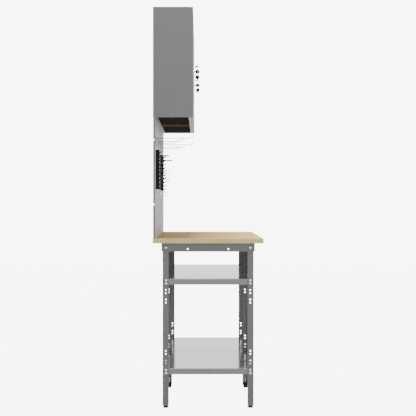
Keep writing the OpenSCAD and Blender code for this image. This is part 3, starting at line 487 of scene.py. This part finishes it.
CURL_R = 10.0 * MM
RING_R = 11.0 * MM
EASY_R = 8.0 * MM
tip = 25.2 * MM * math.sqrt(0.5)
run_in = EASY_R * math.tan(math.radians(22.5))
straight = [(run_in - y, EASY_R - z) for y, z in turn(EASY_R, 0, 45, 6)] + [(-tip, tip)]
for kind in ("long", "medium", "short"):
    hook_pair(f"hooks_{kind}", 19.68 * MM, straight)
hook_pair("curved_hooks", CURL_R + 2.0 * MM, [(-y, CURL_R - z) for y, z in turn(CURL_R, 0, 90, 10)])
hook_pair("ring_hooks", RING_R + 2.0 * MM, [(-y, z - RING_R) for y, z in turn(RING_R, 0, 298, 28)])

lo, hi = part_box("prong_racks")
bm = bmesh.new()
level = (lo.z + hi.z) / 2
for mid in (lo.x + HALF_RACK, hi.x - HALF_RACK):
    block(bm, (mid - HALF_RACK, FACE - PLATE_T, lo.z), (mid + HALF_RACK, FACE, hi.z), 0.7 * MM)
    for x in (mid - ROWS, mid + ROWS):
        peg(bm, x, level)
    for i in range(-2, 3):
        reach = FACE - lo.y
        lathe(bm, (mid + i * 19.0 * MM, FACE, level), (0, -1, 0), [
            (0, 1.0 * MM), (4.2 * MM, 1.0 * MM), (4.2 * MM, 2.2 * MM), (3.3 * MM, 3.1 * MM),
            (3.0 * MM, 3.6 * MM), (3.0 * MM, reach - 3.0 * MM), (2.6 * MM, reach - 1.5 * MM),
            (1.6 * MM, reach - 0.5 * MM), (0, reach)], 24)
piece("prong_racks_turned", bm, DULL, "bench", ["prong_racks"])

# ---- Shelf pans with rounded folds, lips under the long sides and a rib ----

PAN_BEND = 4.0 * MM
LIP = 12 * MM
LIP_END = 34 * MM
HALF_RIB = 20 * MM

for level in ("upper", "lower"):
    for side in ("left", "right"):
        name = f"shelf_{level}_{side}"
        lo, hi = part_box(name)
        bm = bmesh.new()
        made = bmesh.ops.create_cube(bm, size=1.0)["verts"]
        for v in made:
            v.co = Vector((lo[i] + (v.co[i] + 0.5) * (hi[i] - lo[i]) for i in range(3)))
        bmesh.ops.delete(bm, geom=[f for f in bm.faces if f.normal.z < -0.5], context="FACES_ONLY")
        top = [e for e in bm.edges if all(v.co.z > hi.z - 1e-6 for v in e.verts)]
        bmesh.ops.bevel(bm, geom=top, offset=PAN_BEND, segments=6, profile=0.5, affect="EDGES")
        bmesh.ops.solidify(bm, geom=bm.faces[:], thickness=1.0 * MM)
        for s in (-1, 1):
            y = hi.y * s
            inner = y - s * LIP
            block(bm, (lo.x + LIP_END, min(y, inner), lo.z),
                  (hi.x - LIP_END, max(y, inner), lo.z + 1 * MM), 0.3 * MM)
        mid = (lo.x + hi.x) / 2
        for s in (-1, 1):
            x = mid + s * HALF_RIB
            block(bm, (min(x, x - s * MM), lo.y + 1.2 * MM, hi.z - 14 * MM),
                  (max(x, x - s * MM), hi.y - 1.2 * MM, hi.z - 0.9 * MM), 0)
        block(bm, (mid - HALF_RIB, lo.y + 1.2 * MM, hi.z - 14 * MM),
              (mid + HALF_RIB, hi.y - 1.2 * MM, hi.z - 13 * MM), 0.2 * MM)
        piece(f"pan_{level}_{side}", bm, TRAY, "bench", [name])

# ---- Studio ----

# Brightness of the surroundings: as the camera sees them, as glossy faces mirror them, and as soft fill light
BACKDROP = 8.0
MIRRORED = 2.4
FILL = 0.31

bm = bmesh.new()
HALF_FLOOR = 14.0
FLOOR_Z = -0.0005
bm.faces.new([bm.verts.new((x * HALF_FLOOR, y * HALF_FLOOR, FLOOR_Z))
              for x, y in ((-1, -1), (1, -1), (1, 1), (-1, 1))])
mesh = bpy.data.meshes.new("floor")
bm.to_mesh(mesh)
bm.free()
floor = bpy.data.objects.new("floor", mesh)
bpy.context.scene.collection.objects.link(floor)
m, t, where = start_material("pale_floor")
rays = add(t, "ShaderNodeLightPath").outputs
seen = add(t, "ShaderNodeMix", {0: rays["Is Camera Ray"], 2: MIRRORED, 3: BACKDROP},
           data_type="FLOAT").outputs[0]
bright = add(t, "ShaderNodeEmission", {"Color": mottled(t, where, "#fbfbfb", "#fefefe", 900),
                                       "Strength": seen})
matte = add(t, "ShaderNodeBsdfDiffuse", {"Color": rgb("#8c8c8c")})
both = add(t, "ShaderNodeMixShader", {0: rays["Is Diffuse Ray"], 1: bright.outputs[0], 2: matte.outputs[0]})
add(t, "ShaderNodeOutputMaterial", {"Surface": both.outputs[0]})
mesh.materials.append(m)

world = bpy.data.worlds.new("studio")
bpy.context.scene.world = world
world.use_nodes = True
t = world.node_tree
t.nodes.clear()
rays = add(t, "ShaderNodeLightPath").outputs
soft = add(t, "ShaderNodeMix", {0: rays["Is Diffuse Ray"], 2: MIRRORED, 3: FILL},
           data_type="FLOAT").outputs[0]
seen = add(t, "ShaderNodeMix", {0: rays["Is Camera Ray"], 2: soft, 3: BACKDROP},
           data_type="FLOAT").outputs[0]
sky = add(t, "ShaderNodeBackground", {"Color": rgb("#ffffff"), "Strength": seen})
add(t, "ShaderNodeOutputWorld", {"Surface": sky.outputs[0]})


def panel_light(name, place, aim, width, height, watts):
    """A soft rectangular lamp at place, turned to aim."""
    light = bpy.data.lights.new(name, "AREA")
    light.shape = "RECTANGLE"
    light.size, light.size_y = width, height
    light.energy = watts
    o = bpy.data.objects.new(name, light)
    o.location = place
    o.rotation_mode = "QUATERNION"
    o.rotation_quaternion = (Vector(aim) - Vector(place)).to_track_quat("-Z", "Y")
    bpy.context.scene.collection.objects.link(o)


panel_light("top_light", (0, 0.3, 4.6), (0, 0.2, 0.9), 4.0, 0.8, 300)
panel_light("front_light", (0, -4.2, 1.5), (0, 0.2, 1.2), 4.0, 1.4, 125)
panel_light("end_light", (-6.0, -1.0, 2.4), (0, 0, 1.1), 3.0, 3.0, 84)

cam = bpy.data.cameras.new("camera")
cam.sensor_width = 36
cam.lens = 108.87
# The view's shift, as shares of its width
cam.shift_x = 1 / 52
cam.shift_y = -1 / 64
camera = bpy.data.objects.new("camera", cam)
camera.location = (-7.6, 0.044, 1.12)
camera.rotation_euler = (math.radians(90), 0, math.radians(-90))
bpy.context.scene.collection.objects.link(camera)
bpy.context.scene.camera = camera
